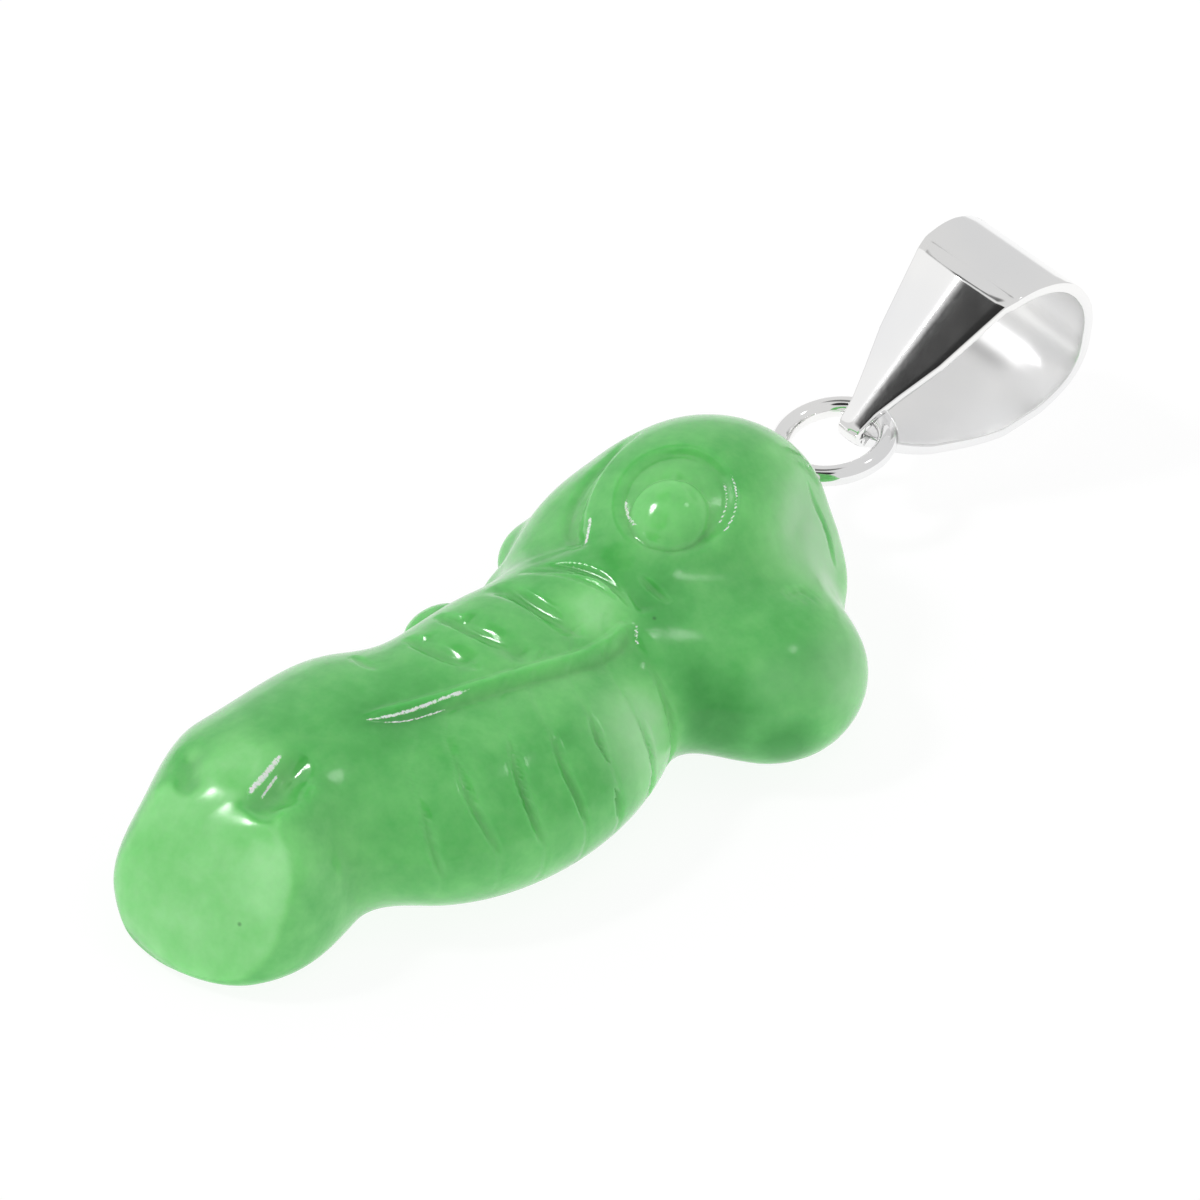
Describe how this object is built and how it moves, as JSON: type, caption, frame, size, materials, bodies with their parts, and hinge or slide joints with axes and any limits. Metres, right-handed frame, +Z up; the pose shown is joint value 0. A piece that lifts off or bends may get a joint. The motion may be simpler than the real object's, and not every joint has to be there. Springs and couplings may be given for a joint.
{
  "type": "carved stone pendant with a bail",
  "caption": "Carved jade seahorse pendant with a silver cap, eye ring and folded bail, lying on its flat back.",
  "frame": {"origin": "middle of the base of the whole box, on the surface that the pendant lies on", "axes": "+Y from the tail to the bail, +X to the snout and belly side, +Z up from the flat back"},
  "size_m": [0.0138, 0.0412, 0.0079],
  "materials": {
    "jade": "polished, slightly translucent",
    "silver": "polished"
  },
  "bodies": {
    "root": {"jade_seahorse": "jade", "silver_cap_and_ring": "silver", "silver_bail": "silver"}
  },
  "joints": []
}
